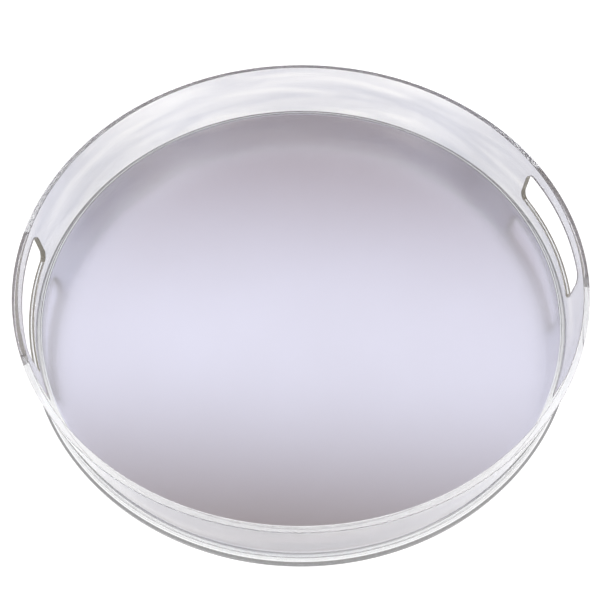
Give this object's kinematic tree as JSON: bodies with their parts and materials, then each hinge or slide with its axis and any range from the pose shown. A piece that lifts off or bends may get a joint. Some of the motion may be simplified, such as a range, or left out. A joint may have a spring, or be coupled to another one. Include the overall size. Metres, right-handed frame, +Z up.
{
  "type": "vanity tray",
  "caption": "Round mirrored vanity tray with a low clear wall, a cut-out handle slot at each side and small bumper feet.",
  "frame": {"origin": "under the tray's centre, on the surface that its feet stand on", "axes": "+Z up, handle slots at +X and -X"},
  "size_m": [0.3556, 0.3556, 0.053],
  "materials": {
    "clear_acrylic": "clear, polished",
    "clear_glass": "clear, polished",
    "silvering": "mirror",
    "backing_paint": "matte paint",
    "foam_tape": "closed-cell foam",
    "clear_bumper": "clear, smooth",
    "adhesive": "satin film"
  },
  "bodies": {
    "root": {"base_plate": "clear_acrylic", "wall_ring": "clear_acrylic", "mirror_glass": "clear_glass", "mirror_silver": "silvering", "mirror_paint": "backing_paint", "tape_1": "foam_tape", "tape_2": "foam_tape", "tape_3": "foam_tape", "tape_4": "foam_tape", "foot_1": "clear_bumper", "foot_2": "clear_bumper", "foot_3": "clear_bumper", "foot_4": "clear_bumper", "foot_adhesive_1": "adhesive", "foot_adhesive_2": "adhesive", "foot_adhesive_3": "adhesive", "foot_adhesive_4": "adhesive"}
  },
  "joints": []
}
